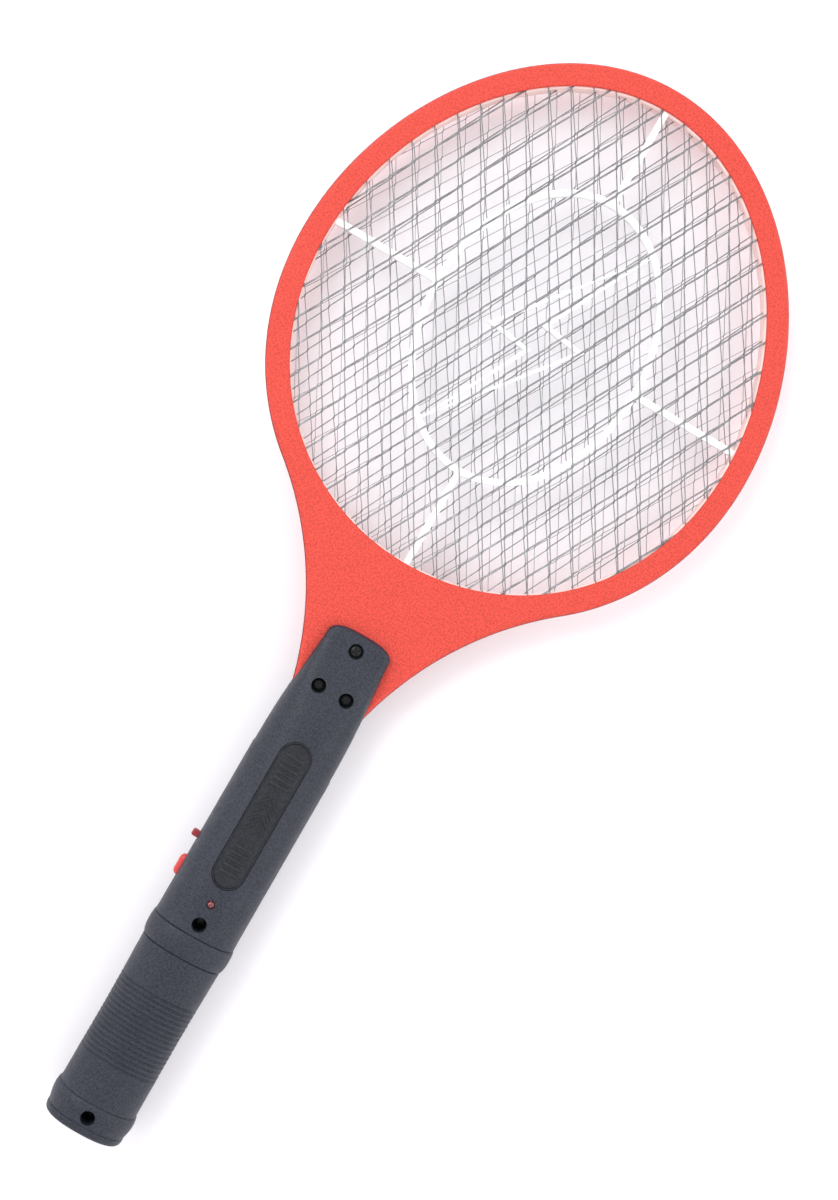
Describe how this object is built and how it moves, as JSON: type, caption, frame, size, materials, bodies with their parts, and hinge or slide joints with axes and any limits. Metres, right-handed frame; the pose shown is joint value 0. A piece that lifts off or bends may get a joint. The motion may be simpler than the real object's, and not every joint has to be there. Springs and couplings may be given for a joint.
{
  "type": "electric fly swatter",
  "caption": "Racket-shaped electric fly swatter: oval frame with stacked wire sheets and a spacer with a bolt sign, on a round battery handle with a button and a slide switch.",
  "frame": {"origin": "middle of the bounding box in X and Y, at the lowest point of the back; the object lies on its back", "axes": "+Y runs along the handle towards the head, +Z points out of the front face, +X is to the right seen from the front"},
  "size_m": [0.2122, 0.494, 0.0352],
  "materials": {
    "frame": "matte, finely textured coral red ABS",
    "handle": "matte, finely textured dark slate ABS",
    "badge": "matte, darker inlay with plain ribs",
    "sheet": "stamped and stretched bright metal",
    "spacer": "white, slightly glossy",
    "control": "satin red",
    "screw": "black oxide steel",
    "contact": "nickel plated",
    "lamp": "clear epoxy lens with a red chip",
    "board": "brown phenolic board",
    "ferrite": "sintered ferrite",
    "bobbin": "ivory nylon",
    "winding": "yellow tape over copper wire",
    "capacitor": "dipped reddish brown",
    "component": "black epoxy",
    "resistor": "tan lacquer",
    "switch_case": "black switch case",
    "switch_metal": "tinned steel can",
    "battery": "plain printed sleeve",
    "wire_red": "PVC insulation",
    "wire_black": "PVC insulation"
  },
  "bodies": {
    "racket": {"frame_front": "frame", "frame_rear": "frame", "guard_sheet_front": "sheet", "guard_sheet_rear": "sheet", "inner_sheet": "sheet", "spacer_front": "spacer", "spacer_rear": "spacer", "handle_front_shell": "handle", "handle_rear_shell": "handle", "badge_plate": "badge", "handle_screws": "screw", "neck_screws": "screw", "push_switch_body": "switch_case", "slide_switch_body": "switch_metal", "led_lens": "lamp", "led_leads": "contact", "circuit_board": "board", "transformer_core": "ferrite", "transformer_bobbin": "bobbin", "transformer_winding": "winding", "storage_capacitor": "capacitor", "rectifier_diodes": "component", "resistors": "resistor", "transistor": "component", "battery_left": "battery", "battery_right": "battery", "battery_springs": "contact", "terminal_plates": "contact", "bridge_plate": "contact", "battery_wires": "wire_red", "grid_wire": "wire_red", "guard_wires": "wire_black"},
    "button": {"push_button": "control", "push_switch_plunger": "component"},
    "knob": {"slide_switch_knob": "control"},
    "door": {"battery_door": "handle"}
  },
  "joints": [
    {"name": "button_press", "type": "slide", "parent": "racket", "child": "button", "axis": [1, 0, 0], "range_m": [0, 0.001], "stiffness_N_per_m": 400, "springref_m": -0.002},
    {"name": "knob_slide", "type": "slide", "parent": "racket", "child": "knob", "axis": [0, -1, 0], "range_m": [0, 0.003]},
    {"name": "door_tilt", "type": "hinge", "parent": "racket", "child": "door", "pos_m": [0, -0.1693, 0.00145], "axis": [1, 0, 0], "range_deg": [0, 40]}
  ]
}
